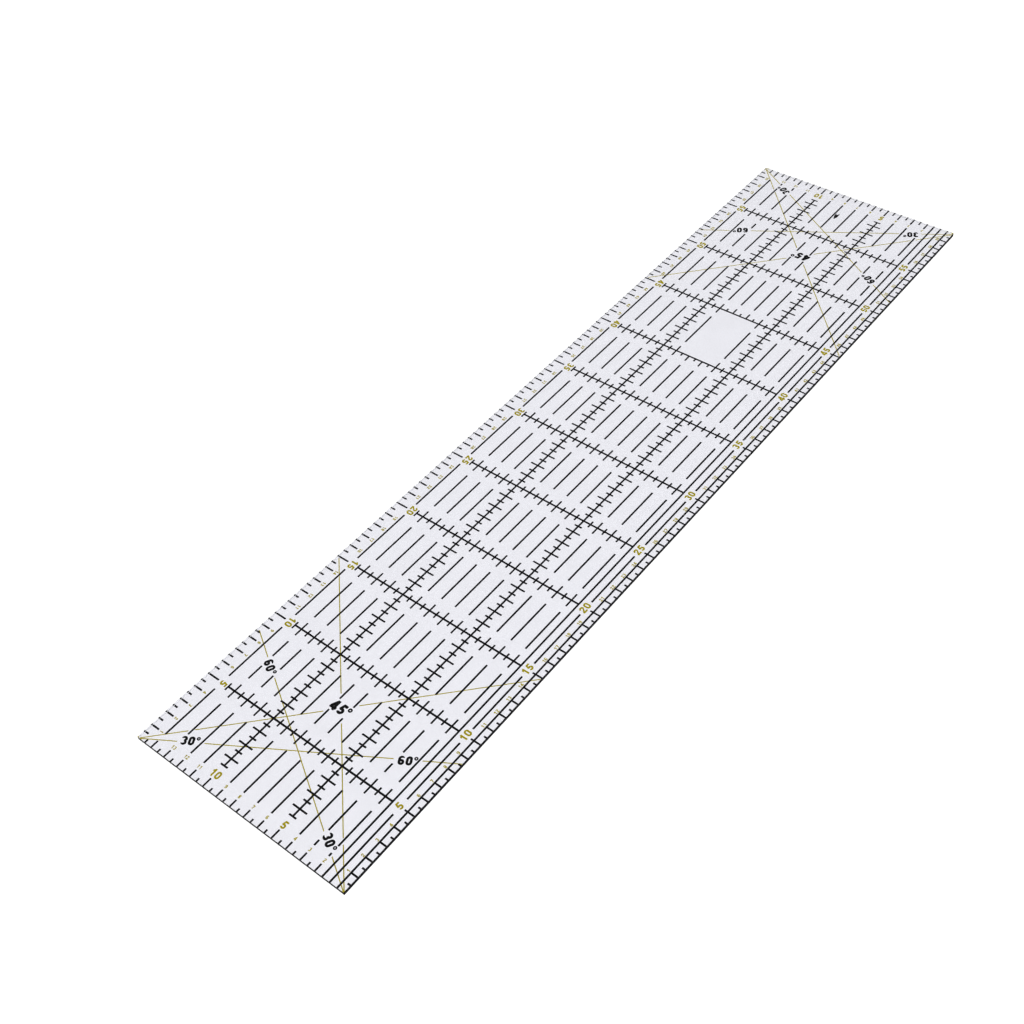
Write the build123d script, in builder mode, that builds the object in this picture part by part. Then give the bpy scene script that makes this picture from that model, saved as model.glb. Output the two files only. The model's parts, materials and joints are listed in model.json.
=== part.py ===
"""Quilting ruler, 60 cm x 15 cm: a clear acrylic sheet with its scales printed on the underside.

Frame: millimetres, +Z up. X runs across the ruler and Y along it. The origin is at the middle of
the underside. The ruler lies on its printed side, so the ink films touch the table at Z = 0 and
the acrylic sheet sits on top of them.

A place on the ruler is given as the print gives it: "along" is the distance from the near short
edge, at Y = -length / 2, and "across" is the distance from the right long edge, at X = +width / 2.
"""
from build123d import *
from math import hypot, radians, tan
import os

# ---- Driving dimensions ----
length = 600.0
width = 150.0
sheet_thickness = 2.5
edge_chamfer = 0.2
ink = 0.04

heavy_line = 1.12
fine_line = 1.08
tick_line = 1.02
angle_line = 0.5

centimetre = 10.0
square = 50.0
tick_half = 2.5
tick_whole = 5.0
tick_five_right = 7.0
tick_five_left = 7.5
tick_five_end = 6.0
line_places_right = (5.0, 10.0, 15.0)
line_place_left = width - 10.0
rule_end_left = width - 15.0
rule_margin = 15.0
numeral_gap = 5.1

large_height = 4.6
small_height = 2.1
label_45_height = 6.5
label_height = 5.3
numeral_weight = 0.215
small_weight = 0.195
label_weight = 0.25
advance = 0.77              # from one digit to the next, in digit heights
degree_advance = 0.64       # from the last digit to its degree sign

angle_reach = 149.0
clear_45 = (13.6, 13.6)
clear_30 = (13.0, 11.0)
blank_panel = (400.0, 450.0, 62.5, 87.5)    # along from, along to, across from, across to

squares_long = int(length / square)
centimetres_long = int(length / centimetre)
centimetres_wide = int(width / centimetre)
rule_places = [square * k for k in range(1, squares_long)]
lengthwise_places = [square, 2 * square]
dash_rows = [v * centimetre for v in (2, 3, 4, 6, 7, 8, 9, 11, 12, 13)]

# Where a dash stops short of an angle label: row, from and to, measured from the near end.
label_gaps = [
    (20, 12.0, 16.5), (30, 13.5, 20.0), (30, 66.0, 74.0), (70, 71.0, 79.0),
    (80, 71.0, 79.0), (120, 69.0, 74.0), (130, 10.0, 17.0), (130, 70.0, 78.0),
]


# ---- Places on the ruler ----
def place(along, across, turn=0.0):
    """The location in the model of a place on the ruler, turned by some degrees."""
    return Location((width / 2 - across, along - length / 2, 0), (0, 0, turn))


def crosswise_bars(alongs, start, end, line):
    """Equal bars across the ruler, one at each place along it."""
    with Locations(*[place(along, (start + end) / 2) for along in alongs]):
        Rectangle(end - start, line)


def lengthwise_bars(acrosses, start, end, line):
    """Equal bars along the ruler, one at each place across it."""
    with Locations(*[place((start + end) / 2, across) for across in acrosses]):
        Rectangle(line, end - start)


def without(parts, whole):
    """The stretches of whole = (start, end) that are left when the parts are taken out."""
    left = [whole]
    for low, high in parts:
        left = [piece for start, end in left
                for piece in ((start, min(end, low)), (max(start, high), end))
                if piece[1] - piece[0] > tick_line]
    return left


# ---- Digits ----
def digit(character, height, weight):
    """One digit or degree sign, centred on the origin, from bars, rings and slanted strokes."""
    stroke = height * weight
    wide = height * 0.64
    top, right = height / 2, wide / 2
    bowl = wide / 2
    ring = (height + stroke) / 4

    with BuildSketch() as glyph:
        if character == "0":
            SlotOverall(height, wide, rotation=90)
            SlotOverall(height - 2 * stroke, wide - 2 * stroke, rotation=90, mode=Mode.SUBTRACT)
        elif character == "1":
            with Locations((wide * 0.12, 0)):
                Rectangle(stroke, height)
            flag_top, flag_side = (wide * 0.12, top), (-right * 0.62, top - height * 0.2)
            Polygon(flag_top, (flag_top[0], top - 1.45 * stroke), (flag_side[0], flag_side[1] - stroke),
                    flag_side, align=None)
        elif character == "2":
            with Locations((0, top - bowl)):
                Circle(bowl)
                Circle(bowl - stroke, mode=Mode.SUBTRACT)
            with Locations((0, top - bowl - height / 2)):
                Rectangle(wide, height, mode=Mode.SUBTRACT)
            Polygon((right, top - bowl), (right - stroke, top - bowl), (-right, stroke - top),
                    (-right, -top), (1.3 * stroke - right, stroke - top), align=None)
            with Locations((0, stroke / 2 - top)):
                Rectangle(wide, stroke)
        elif character in "38":
            for side in (1, -1):
                with Locations((0, side * (top - ring))):
                    Circle(ring)
            for side in (1, -1):
                with Locations((0, side * (top - ring))):
                    Circle(ring - stroke, mode=Mode.SUBTRACT)
            if character == "3":
                with Locations((-ring, 0)):
                    Rectangle(2 * ring - 0.2 * stroke, height - 1.5 * ring, mode=Mode.SUBTRACT)
        elif character == "4":
            with Locations((right * 0.38, 0)):
                Rectangle(stroke, height)
            with Locations((0, height * 0.25 - top)):
                Rectangle(wide * 1.06, stroke)
            Polygon((right * 0.38 + stroke / 2, top), (right * 0.38 - stroke / 2, top),
                    (-right * 1.06, height * 0.25 - top + stroke / 2),
                    (1.2 * stroke - right * 1.06, height * 0.25 - top + stroke / 2), align=None)
        elif character == "5":
            bowl_height = bowl - top
            with Locations((0, bowl_height)):
                Circle(bowl)
                Circle(bowl - stroke, mode=Mode.SUBTRACT)
            Polygon((0, bowl_height), (-2 * bowl, bowl_height + 1.15 * bowl),
                    (-2 * bowl, bowl_height - 0.9 * bowl), align=None, mode=Mode.SUBTRACT)
            with Locations((stroke * 0.4, top - stroke / 2)):
                Rectangle(wide - 0.8 * stroke, stroke)
            Polygon((stroke * 0.8 - right, top), (stroke * 1.8 - right, top),
                    (stroke * 1.15 - right, bowl_height + bowl * 0.5),
                    (stroke * 0.15 - right, bowl_height + bowl * 0.5), align=None)
        elif character in "69":
            SlotOverall(height, wide, rotation=90)
            SlotOverall(height - 2 * stroke, wide - 2 * stroke, rotation=90, mode=Mode.SUBTRACT)
            with Locations((right, 0)):
                Rectangle(wide, height - bowl * 1.3, mode=Mode.SUBTRACT)
            with Locations((0, bowl - top)):
                Circle(bowl)
                Circle(bowl - stroke, mode=Mode.SUBTRACT)
        elif character == "7":
            with Locations((0, top - stroke / 2)):
                Rectangle(wide, stroke)
            Polygon((right, top - stroke), (right - 1.2 * stroke, top - stroke),
                    (-right * 0.5, -top), (1.1 * stroke - right * 0.5, -top), align=None)
        else:
            with Locations((0, top - height * 0.2)):
                Circle(height * 0.2)
                Circle(height * 0.2 - stroke * 0.55, mode=Mode.SUBTRACT)
    if character == "9":
        return glyph.sketch.rotate(Axis.Z, 180)
    return glyph.sketch


def glyph_set(characters, height, weight):
    return {character: digit(character, height, weight) for character in characters}


def print_numerals(numerals, glyphs, height):
    """Print each (text, location), centred on its location, with any degree sign drawn in close."""
    spots = {}
    for text, location in numerals:
        for count, character in enumerate(text):
            step = (count - (len(text) - 1) / 2) * advance
            if character == "°":
                step = degree_advance
            spots.setdefault(character, []).append(location * Location((step * height, 0, 0)))
    for character, locations in spots.items():
        with Locations(*locations):
            add(glyphs[character])


# ---- Black film: the centimetre grid ----
def crosswise_rules():
    """Rules across the ruler every 5 cm, each with its own centimetre and half marks."""
    start = line_places_right[2] + fine_line / 2
    crosswise_bars(rule_places, start, rule_end_left, heavy_line)
    for half_centimetres in range(4, int(rule_end_left / 5) + 1):
        across = half_centimetres * 5
        reach = tick_half if half_centimetres % 2 else tick_whole
        if across not in lengthwise_places:
            lengthwise_stubs(rule_places, across, reach)
    low, high, right_side, left_side = blank_panel
    with Locations(place((low + high) / 2, (right_side + left_side) / 2)):
        Rectangle(left_side - right_side, high - low - heavy_line, mode=Mode.SUBTRACT)


def lengthwise_stubs(alongs, across, reach):
    with Locations(*[place(along, across) for along in alongs]):
        Rectangle(tick_line, 2 * reach)


def lengthwise_rules():
    """Two rules along the ruler, which stop at each side of the crosswise rules."""
    first, last = rule_margin, length - rule_margin
    crossings = [(along - heavy_line / 2, along + heavy_line / 2) for along in rule_places]
    for start, end in without(crossings, (first, last)):
        lengthwise_bars(lengthwise_places, start, end, heavy_line)
    for across in lengthwise_places:
        for first_tick, reach in ((first, tick_half), (first + 5, tick_whole)):
            ticks = [first_tick + centimetre * k for k in range(centimetres_long)]
            ticks = [along for along in ticks if along <= last and along not in rule_places]
            crosswise_bars(ticks, across - reach, across + reach, tick_line)


def centimetre_dashes():
    """A dash along each whole centimetre in every square, clear of the angle labels."""
    for row in dash_rows:
        gaps = [(start, end) for line, start, end in label_gaps if line == row]
        gaps += [(length - end, length - start) for line, start, end in label_gaps
                 if width - line == row]
        if blank_panel[2] < row < blank_panel[3]:
            gaps.append(blank_panel[:2])
        for k in range(squares_long):
            whole = (square * k + centimetre, square * (k + 1) - centimetre)
            for start, end in without(gaps, whole):
                lengthwise_bars([row], start, end, fine_line)


# ---- Black film: the reference lines beside the long edges ----
def right_5mm_line():
    lengthwise_bars([line_places_right[0]], edge_chamfer, length - edge_chamfer, fine_line)


def right_10mm_line():
    gaps = [(along - numeral_gap, along + numeral_gap) for along in rule_places]
    for start, end in without(gaps, (edge_chamfer, length - edge_chamfer)):
        lengthwise_bars([line_places_right[1]], start, end, fine_line)


def right_15mm_line():
    lengthwise_bars([line_places_right[2]], edge_chamfer, length - edge_chamfer, fine_line)


def left_10mm_line():
    gaps = [(along - numeral_gap, along + numeral_gap) for along in rule_places]
    for start, end in without(gaps, (centimetre, length - centimetre)):
        lengthwise_bars([line_place_left], start, end, fine_line)


# ---- Black film: the marks along the four edges ----
def halves_wholes_fives():
    """Places of the half, whole and five centimetre marks along a long edge."""
    halves = [centimetre * (k + 0.5) for k in range(centimetres_long)]
    wholes = [centimetre * k for k in range(1, centimetres_long) if k % 5]
    return halves, wholes, rule_places


def right_edge_ticks():
    halves, wholes, fives = halves_wholes_fives()
    line_low = line_places_right[0] - fine_line / 2
    line_high = line_places_right[0] + fine_line / 2
    crosswise_bars(halves, edge_chamfer, tick_half, tick_line)
    crosswise_bars(wholes + fives, edge_chamfer, line_low, tick_line)
    crosswise_bars(fives, line_high, tick_five_right, tick_line)


def left_edge_ticks():
    for alongs, reach in zip(halves_wholes_fives(), (tick_half, tick_whole, tick_five_left)):
        crosswise_bars(alongs, width - reach, width - edge_chamfer, tick_line)


def end_ticks(from_edge):
    """Marks along a short edge. from_edge turns a distance from that edge into a place."""
    for half_centimetres in range(4, 2 * centimetres_wide):
        across = half_centimetres * 5
        reach = tick_half if half_centimetres % 2 else tick_whole
        if across in lengthwise_places:
            reach = tick_five_end
        start, end = sorted((from_edge(edge_chamfer), from_edge(reach)))
        lengthwise_bars([across], start, end, tick_line)


def near_edge_ticks():
    end_ticks(lambda distance: distance)


def far_edge_ticks():
    end_ticks(lambda distance: length - distance)


# ---- Black film: the angle labels and the pointer ----
def angle_labels(at_far_end):
    """45 degrees at the crossing of the long slants, 30 and 60 degrees on the steep ones."""
    turn = 180 if at_far_end else 0
    labels = [("45°", 74.8, 74.3, 0, label_45_height),
              ("30°", 15.3, 125.3, 30, label_height), ("60°", 71.6, 125.0, -30, label_height),
              ("30°", 15.2, 24.3, -30, label_height), ("60°", 72.0, 24.1, 30, label_height)]
    for text, along, across, slant, height in labels:
        if at_far_end:
            along, across = length - along, width - across
        print_numerals([(text, place(along, across, turn + slant))], label_glyphs[height], height)


def near_angle_labels():
    angle_labels(False)


def far_angle_labels():
    angle_labels(True)


def middle_pointer():
    """A small notched arrowhead beside the middle of the far end."""
    corners = [(573.2, 77.6), (576.4, 79.0), (579.9, 79.2),
               (578.1, 78.0), (580.3, 76.6), (576.0, 76.4)]
    Polygon(*[place(along, across).position for along, across in corners], align=None)


# ---- Gold film: numerals ----
def long_side_numerals(values, distance, glyphs, height, left):
    """Centimetres from the near end, read from the long edge that they stand at."""
    across, turn = (width - distance, -90) if left else (distance, 90)
    numerals = [(str(value), place(value * centimetre, across, turn)) for value in values]
    print_numerals(numerals, glyphs, height)


def end_numerals(values, distance, glyphs, height, far):
    """Centimetres from the right long edge, upright as seen from the end that they stand at."""
    along, turn = (length - distance, 180) if far else (distance, 0)
    numerals = [(str(value), place(along, value * centimetre, turn)) for value in values]
    print_numerals(numerals, glyphs, height)


fives = range(5, centimetres_long, 5)
ones = [value for value in range(1, centimetres_long) if value % 5]
end_fives = (5, 10)
end_ones = [value for value in range(2, 14) if value not in end_fives]


def right_large_numerals():
    long_side_numerals(fives, 10.6, large_glyphs, large_height, left=False)


def left_large_numerals():
    long_side_numerals(fives, 11.4, large_glyphs, large_height, left=True)


def right_small_numerals():
    long_side_numerals(ones, 6.8, small_glyphs, small_height, left=False)


def left_small_numerals():
    long_side_numerals(ones, 7.3, small_glyphs, small_height, left=True)


def near_large_numerals():
    end_numerals(end_fives, 9.2, large_glyphs, large_height, far=False)


def far_large_numerals():
    end_numerals(end_fives, 9.2, large_glyphs, large_height, far=True)


def near_small_numerals():
    end_numerals(end_ones, 7.2, small_glyphs, small_height, far=False)


def far_small_numerals():
    end_numerals(end_ones, 7.2, small_glyphs, small_height, far=True)


# ---- Gold film: angle lines ----
def slant(corner_across, angle, reach):
    """A line from a near corner, at an angle to the short edge, over a reach across the ruler."""
    inward = 1 if corner_across == 0 else -1
    run = reach * tan(radians(angle))
    middle = place(run / 2, corner_across + inward * reach / 2, -inward * angle)
    with Locations(middle):
        Rectangle(hypot(reach, run), angle_line)


def near_slants():
    """The 45 and 30 degree lines from both corners of the near end, clear of the labels."""
    for corner in (0, width):
        for angle in (45, 30):
            slant(corner, angle, angle_reach)
    with Locations(place(square * 1.5, width / 2)):
        Rectangle(*clear_45, mode=Mode.SUBTRACT)
    with Locations(*[place(along, across) for along in (15.5, 72.0) for across in (25.0, 125.0)]):
        Rectangle(*clear_30, mode=Mode.SUBTRACT)


# ---- Build, label and write each piece ----
os.makedirs("parts", exist_ok=True)
large_glyphs = glyph_set("0123456789", large_height, numeral_weight)
small_glyphs = glyph_set("0123456789", small_height, small_weight)
label_glyphs = {height: glyph_set("03456°", height, label_weight)
                for height in (label_height, label_45_height)}

films = [
    crosswise_rules, lengthwise_rules, centimetre_dashes,
    right_5mm_line, right_10mm_line, right_15mm_line, left_10mm_line,
    right_edge_ticks, left_edge_ticks, near_edge_ticks, far_edge_ticks,
    near_angle_labels, far_angle_labels, middle_pointer,
    right_large_numerals, left_large_numerals, near_large_numerals, far_large_numerals,
    right_small_numerals, left_small_numerals, near_small_numerals, far_small_numerals,
]
crossed_by_slants = films[:11]
black_sketches = []
for draw in films:
    with BuildPart() as film:
        with BuildSketch(Plane.XY) as pattern:
            draw()
        extrude(amount=ink)
    film.part.label = draw.__name__
    export_step(film.part, f"parts/{draw.__name__}.step")
    if draw in crossed_by_slants:
        black_sketches += pattern.sketch.faces()

with BuildSketch() as slants:
    near_slants()
for name, turn in (("near_angle_lines", 0), ("far_angle_lines", 180)):
    with BuildPart() as film:
        with BuildSketch(Plane.XY):
            add(slants.sketch, rotation=turn)
            Rectangle(width - 2 * edge_chamfer, length - 2 * edge_chamfer, mode=Mode.INTERSECT)
            add(black_sketches, mode=Mode.SUBTRACT)
        extrude(amount=ink)
    film.part.label = name
    export_step(film.part, f"parts/{name}.step")

with BuildPart() as acrylic_plate:
    with BuildSketch(Plane.XY.offset(ink)):
        Rectangle(width, length)
    extrude(amount=sheet_thickness)
    chamfer(acrylic_plate.edges(), edge_chamfer)
acrylic_plate.part.label = "acrylic_plate"
export_step(acrylic_plate.part, "parts/acrylic_plate.step")
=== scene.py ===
"""Looks for the clear quilting ruler: a bevelled acrylic sheet over its printed underside."""
import json
from math import radians

import bmesh
import bpy
from mathutils import Matrix, Vector


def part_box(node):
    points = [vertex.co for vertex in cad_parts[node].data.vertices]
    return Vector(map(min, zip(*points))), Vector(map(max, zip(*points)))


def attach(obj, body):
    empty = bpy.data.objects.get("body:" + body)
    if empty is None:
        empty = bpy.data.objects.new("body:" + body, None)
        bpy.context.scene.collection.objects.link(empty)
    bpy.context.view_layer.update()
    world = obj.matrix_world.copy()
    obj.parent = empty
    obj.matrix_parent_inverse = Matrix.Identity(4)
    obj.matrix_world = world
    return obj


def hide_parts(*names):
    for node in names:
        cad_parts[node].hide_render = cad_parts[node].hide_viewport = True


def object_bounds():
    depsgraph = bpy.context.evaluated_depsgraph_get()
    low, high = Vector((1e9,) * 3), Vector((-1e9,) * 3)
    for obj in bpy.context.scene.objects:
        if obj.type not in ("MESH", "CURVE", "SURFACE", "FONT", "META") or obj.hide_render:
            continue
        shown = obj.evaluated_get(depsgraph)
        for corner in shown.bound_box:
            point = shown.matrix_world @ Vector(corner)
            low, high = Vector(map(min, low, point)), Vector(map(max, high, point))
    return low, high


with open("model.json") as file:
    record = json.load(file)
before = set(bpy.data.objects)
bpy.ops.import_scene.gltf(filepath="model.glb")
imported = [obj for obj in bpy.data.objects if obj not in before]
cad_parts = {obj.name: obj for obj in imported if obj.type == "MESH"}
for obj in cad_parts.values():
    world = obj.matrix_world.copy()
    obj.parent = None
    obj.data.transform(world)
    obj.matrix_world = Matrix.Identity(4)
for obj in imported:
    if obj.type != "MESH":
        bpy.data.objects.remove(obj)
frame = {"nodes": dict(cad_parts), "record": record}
cad_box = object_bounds()
nodes = frame["nodes"]
slots = {part["node"]: part["material_slot"] for part in frame["record"]["subparts"]}

# ---- Sizes, in metres ----
MM = 0.001
INK_BEDDING = 0.01 * MM     # how far the sheet takes in the tops of the ink films
EDGE_BREAK = 0.15 * MM
FLOOR_HALF = 6.0

# ---- Colours and finishes ----
FACE_TINT = (0.9, 0.9, 0.936, 1)
# painted shade: the near-black colour of the cut edges seen from outside stands in for their dark
# look under the lamps
EDGE_PAINTED_SHADE = (0.02, 0.02, 0.022, 1)
SHADOW_TINT = (0.985, 0.985, 0.99, 1)
ACRYLIC_IOR = 1.49
HAZE_ROUGHNESS = 0.012
SCRATCH_ROUGHNESS = 0.06
SCRATCHES = [(12, (3000, 14, 1)), (-57, (2600, 22, 1)), (83, (3400, 18, 1))]    # angle, stretch
EDGE_ROUGHNESS = 0.1
EDGE_CLARITY = 0.12         # the share of light that a cut edge lets in from outside
INKS = {                    # slot: thin cover, full cover, roughness
    "black_print": ((0.01, 0.01, 0.011, 1), (0.003, 0.003, 0.0035, 1), 0.45),
    "gold_print": ((0.42, 0.355, 0.008, 1), (0.34, 0.285, 0.005, 1), 0.5),
}
INK_SPECULAR = 0.3
PAPER_DARK = (0.9, 0.9, 0.9, 1)
PAPER_LIGHT = (0.92, 0.92, 0.92, 1)

# ---- Light and camera ----
SKY_LEVELS = [(0.0, 0.95), (0.2, 0.7), (0.5, 0.16), (1.0, 0.12)]    # height, grey level
CAMERA_PLACE = Vector((0.3903, -0.4577, 0.6035))
CAMERA_HEADING, CAMERA_PITCH, CAMERA_ROLL = 43.05, 46.43, -6.74
CAMERA_LENS = 49.82
CAMERA_SHIFT = (-0.047, -0.0205)
DISPLAY_GAMMA = 0.82


# ---- Node helpers ----
def new_material(name):
    """An empty node material and its tree."""
    material = bpy.data.materials.new(name)
    material.use_nodes = True
    tree = material.node_tree
    tree.nodes.clear()
    return material, tree


def node(tree, kind, **settings):
    """A node with its properties and sockets set by name. A linked socket is given as an output."""
    made = tree.nodes.new(kind)
    inputs = settings.pop("inputs", {})
    for key, value in settings.items():
        setattr(made, key, value)
    for key, value in inputs.items():
        if isinstance(value, bpy.types.NodeSocket):
            tree.links.new(value, made.inputs[key])
        else:
            made.inputs[key].default_value = value
    return made


def math_node(tree, operation, first, second):
    made = node(tree, "ShaderNodeMath", operation=operation, inputs={0: first, 1: second})
    return made.outputs[0]


def noise(tree, coordinates, scale, detail):
    made = node(tree, "ShaderNodeTexNoise", inputs={
        "Vector": coordinates, "Scale": scale, "Detail": detail})
    return made.outputs["Fac"]


def object_coordinates(tree):
    return node(tree, "ShaderNodeTexCoord").outputs["Object"]


def ramp(tree, factor, stops):
    """A colour ramp through (place, colour) stops."""
    made = node(tree, "ShaderNodeValToRGB", inputs={"Fac": factor})
    points = made.color_ramp.elements
    while len(points) < len(stops):
        points.new(0.5)
    for point, (place, colour) in zip(points, stops):
        point.position = place
        point.color = colour
    return made.outputs["Color"]


def bump(tree, height, strength, distance):
    made = node(tree, "ShaderNodeBump", inputs={
        "Height": height, "Strength": strength, "Distance": distance})
    return made.outputs["Normal"]


# ---- Materials ----
def hairlines(tree, coordinates, angle, stretch):
    """Sparse fine scratches: the thin crests of a noise drawn out along one direction."""
    turned = node(tree, "ShaderNodeMapping", inputs={
        "Vector": coordinates, "Rotation": (0, 0, radians(angle)), "Scale": stretch})
    streaks = node(tree, "ShaderNodeTexNoise", inputs={
        "Vector": turned.outputs["Vector"], "Scale": 1.0, "Detail": 2.0, "Roughness": 0.6})
    return node(tree, "ShaderNodeMapRange", inputs={
        "Value": streaks.outputs["Fac"], "From Min": 0.7, "From Max": 0.76}).outputs["Result"]


def through_light(tree, glass):
    """Shows the glass to the eye, and lets light for what lies under it pass straight through."""
    clear = node(tree, "ShaderNodeBsdfTransparent", inputs={"Color": SHADOW_TINT}).outputs[0]
    path = node(tree, "ShaderNodeLightPath")
    lit = node(tree, "ShaderNodeMixShader", inputs={
        0: path.outputs["Is Diffuse Ray"], 1: glass.outputs[0], 2: clear})
    mixed = node(tree, "ShaderNodeMixShader", inputs={
        0: path.outputs["Is Shadow Ray"], 1: lit.outputs[0], 2: clear})
    node(tree, "ShaderNodeOutputMaterial", inputs={"Surface": mixed.outputs[0]})


def polished_acrylic():
    """The clear faces: a faint lavender tint, a trace of haze and a few hairline scratches."""
    material, tree = new_material("clear_acrylic")
    coordinates = object_coordinates(tree)
    rough = node(tree, "ShaderNodeMapRange", inputs={
        "Value": noise(tree, coordinates, 18.0, 3.0), "From Min": 0.35, "From Max": 0.7,
        "To Min": 0.0, "To Max": HAZE_ROUGHNESS}).outputs["Result"]
    for angle, stretch in SCRATCHES:
        lines = hairlines(tree, coordinates, angle, stretch)
        rough = math_node(tree, "ADD", rough, math_node(tree, "MULTIPLY", lines, SCRATCH_ROUGHNESS))
    through_light(tree, node(tree, "ShaderNodeBsdfPrincipled", inputs={
        "Base Color": FACE_TINT, "Roughness": rough, "IOR": ACRYLIC_IOR,
        "Transmission Weight": 1.0}))
    return material


def sawn_acrylic_painted_shade():
    """The cut edges, with fine upright marks of the saw. From outside they carry painted shade: a
    near-black colour stands in for the dark look that clear edges get from light and reflection,
    where clear edges would mirror the bright floor. From inside they are clear, so that no dark
    line shows through the sheet."""
    material, tree = new_material("sawn_acrylic_painted_shade")
    upright = node(tree, "ShaderNodeMapping", inputs={
        "Vector": object_coordinates(tree), "Scale": (1, 1, 0.03)}).outputs["Vector"]
    # painted shade: near-black, barely clear and without gloss, in place of the dark look of a
    # clear edge
    outside = node(tree, "ShaderNodeBsdfPrincipled", inputs={
        "Base Color": EDGE_PAINTED_SHADE, "Roughness": EDGE_ROUGHNESS, "IOR": ACRYLIC_IOR,
        "Transmission Weight": EDGE_CLARITY, "Specular IOR Level": 0.0,
        "Normal": bump(tree, noise(tree, upright, 2400.0, 3.0), 0.25, 0.03 * MM)})
    inside = node(tree, "ShaderNodeBsdfPrincipled", inputs={
        "Base Color": FACE_TINT, "Roughness": 0.0, "IOR": ACRYLIC_IOR, "Transmission Weight": 1.0})
    side = node(tree, "ShaderNodeNewGeometry").outputs["Backfacing"]
    through_light(tree, node(tree, "ShaderNodeMixShader", inputs={
        0: side, 1: outside.outputs[0], 2: inside.outputs[0]}))
    return material


def print_ink(name, thin, full, roughness):
    """Screen ink: a little uneven in cover, with a fine pebbled face."""
    material, tree = new_material(name)
    coordinates = object_coordinates(tree)
    shader = node(tree, "ShaderNodeBsdfPrincipled", inputs={
        "Base Color": ramp(tree, noise(tree, coordinates, 900.0, 4.0), [(0.35, thin), (0.6, full)]),
        "Roughness": roughness, "Specular IOR Level": INK_SPECULAR,
        "Normal": bump(tree, noise(tree, coordinates, 6000.0, 2.0), 0.15, 0.02 * MM)})
    node(tree, "ShaderNodeOutputMaterial", inputs={"Surface": shader.outputs[0]})
    return material


def floor_paper():
    """A plain pale sweep with a barely visible tooth."""
    material, tree = new_material("floor_paper")
    tooth = noise(tree, object_coordinates(tree), 60.0, 2.0)
    shader = node(tree, "ShaderNodeBsdfPrincipled", inputs={
        "Base Color": ramp(tree, tooth, [(0.3, PAPER_DARK), (0.7, PAPER_LIGHT)]),
        "Roughness": 0.9, "Specular IOR Level": 0.0})
    node(tree, "ShaderNodeOutputMaterial", inputs={"Surface": shader.outputs[0]})
    return material


# ---- Shapes ----
def link_mesh(name, form):
    """An object in the scene from a bmesh, which is freed."""
    mesh = bpy.data.meshes.new(name)
    form.to_mesh(mesh)
    form.free()
    made = bpy.data.objects.new(name, mesh)
    bpy.context.scene.collection.objects.link(made)
    return made


def acrylic_sheet():
    """The sheet with softly broken edges. Its underside takes in the tops of the ink films."""
    low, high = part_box("acrylic_plate")
    low.z -= INK_BEDDING
    centre, size = (low + high) / 2, high - low
    form = bmesh.new()
    bmesh.ops.create_cube(form, size=1.0)
    bmesh.ops.transform(form, matrix=Matrix.Translation(centre) @ Matrix.Diagonal((*size, 1)),
                        verts=form.verts)
    bmesh.ops.bevel(form, geom=form.edges[:] + form.verts[:], offset=EDGE_BREAK, segments=3,
                    profile=0.5, affect="EDGES")
    bmesh.ops.recalc_face_normals(form, faces=form.faces)
    return link_mesh("acrylic_sheet", form)


def stage_floor():
    form = bmesh.new()
    bmesh.ops.create_grid(form, x_segments=1, y_segments=1, size=FLOOR_HALF)
    floor = link_mesh("floor", form)
    floor.location.z = cad_box[0][2]
    floor.data.materials.append(floor_paper())


# ---- Light and camera ----
def soft_sun(name, heading, height, spread, strength):
    """Even light from one side, in degrees: heading turns left from +Y, height is above the floor.
    The sheet doesn't mirror the lamp, so its print stays readable from every side."""
    lamp = bpy.data.lights.new(name, "SUN")
    lamp.energy, lamp.angle = strength, radians(spread)
    holder = bpy.data.objects.new(name, lamp)
    holder.rotation_euler = (radians(90 - height), 0, radians(heading + 180))
    holder.visible_glossy = holder.visible_transmission = False
    bpy.context.scene.collection.objects.link(holder)


def sky(stops):
    """A studio dome, bright at the horizon and dim overhead: stops of (height, grey level)."""
    world = bpy.data.worlds.new("studio_dome")
    bpy.context.scene.world = world
    world.use_nodes = True
    tree = world.node_tree
    tree.nodes.clear()
    direction = node(tree, "ShaderNodeTexCoord").outputs["Generated"]
    height = node(tree, "ShaderNodeSeparateXYZ", inputs={0: direction}).outputs["Z"]
    shade = ramp(tree, height, [(place, (level, level, level, 1)) for place, level in stops])
    background = node(tree, "ShaderNodeBackground", inputs={"Color": shade})
    node(tree, "ShaderNodeOutputWorld", inputs={"Surface": background.outputs[0]})


def camera(location, heading, pitch, roll, lens, shift):
    """Heading turns left from +Y and pitch looks down, in degrees."""
    data = bpy.data.cameras.new("camera")
    data.lens, data.sensor_width = lens, 36.0
    data.shift_x, data.shift_y = shift
    data.clip_start, data.clip_end = 0.01, 50.0
    holder = bpy.data.objects.new("camera", data)
    turn = (Matrix.Rotation(radians(heading), 4, "Z") @ Matrix.Rotation(radians(90 - pitch), 4, "X")
            @ Matrix.Rotation(radians(roll), 4, "Z"))
    holder.matrix_world = Matrix.Translation(location) @ turn
    bpy.context.scene.collection.objects.link(holder)
    bpy.context.scene.camera = holder


# ---- The ruler ----
sheet = acrylic_sheet()
sheet.data.materials.append(polished_acrylic())
sheet.data.materials.append(sawn_acrylic_painted_shade())
for face in sheet.data.polygons:
    face.material_index = int(abs(face.normal.z) < 0.5)
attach(sheet, "root")
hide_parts("acrylic_plate")

inks = {slot: print_ink(slot, *look) for slot, look in INKS.items()}
for name, cad in nodes.items():
    if name != "acrylic_plate":
        cad.data.materials.clear()
        cad.data.materials.append(inks[slots[name]])

# ---- The stage ----
stage_floor()
sky(SKY_LEVELS)
soft_sun("key", -140, 62, 40, 2.35)
soft_sun("fill", -50, 68, 50, 1.0)
camera(CAMERA_PLACE, CAMERA_HEADING, CAMERA_PITCH, CAMERA_ROLL, CAMERA_LENS, CAMERA_SHIFT)

view = bpy.context.scene.view_settings
view.view_transform = "Standard"
view.look = "None"
view.gamma = DISPLAY_GAMMA
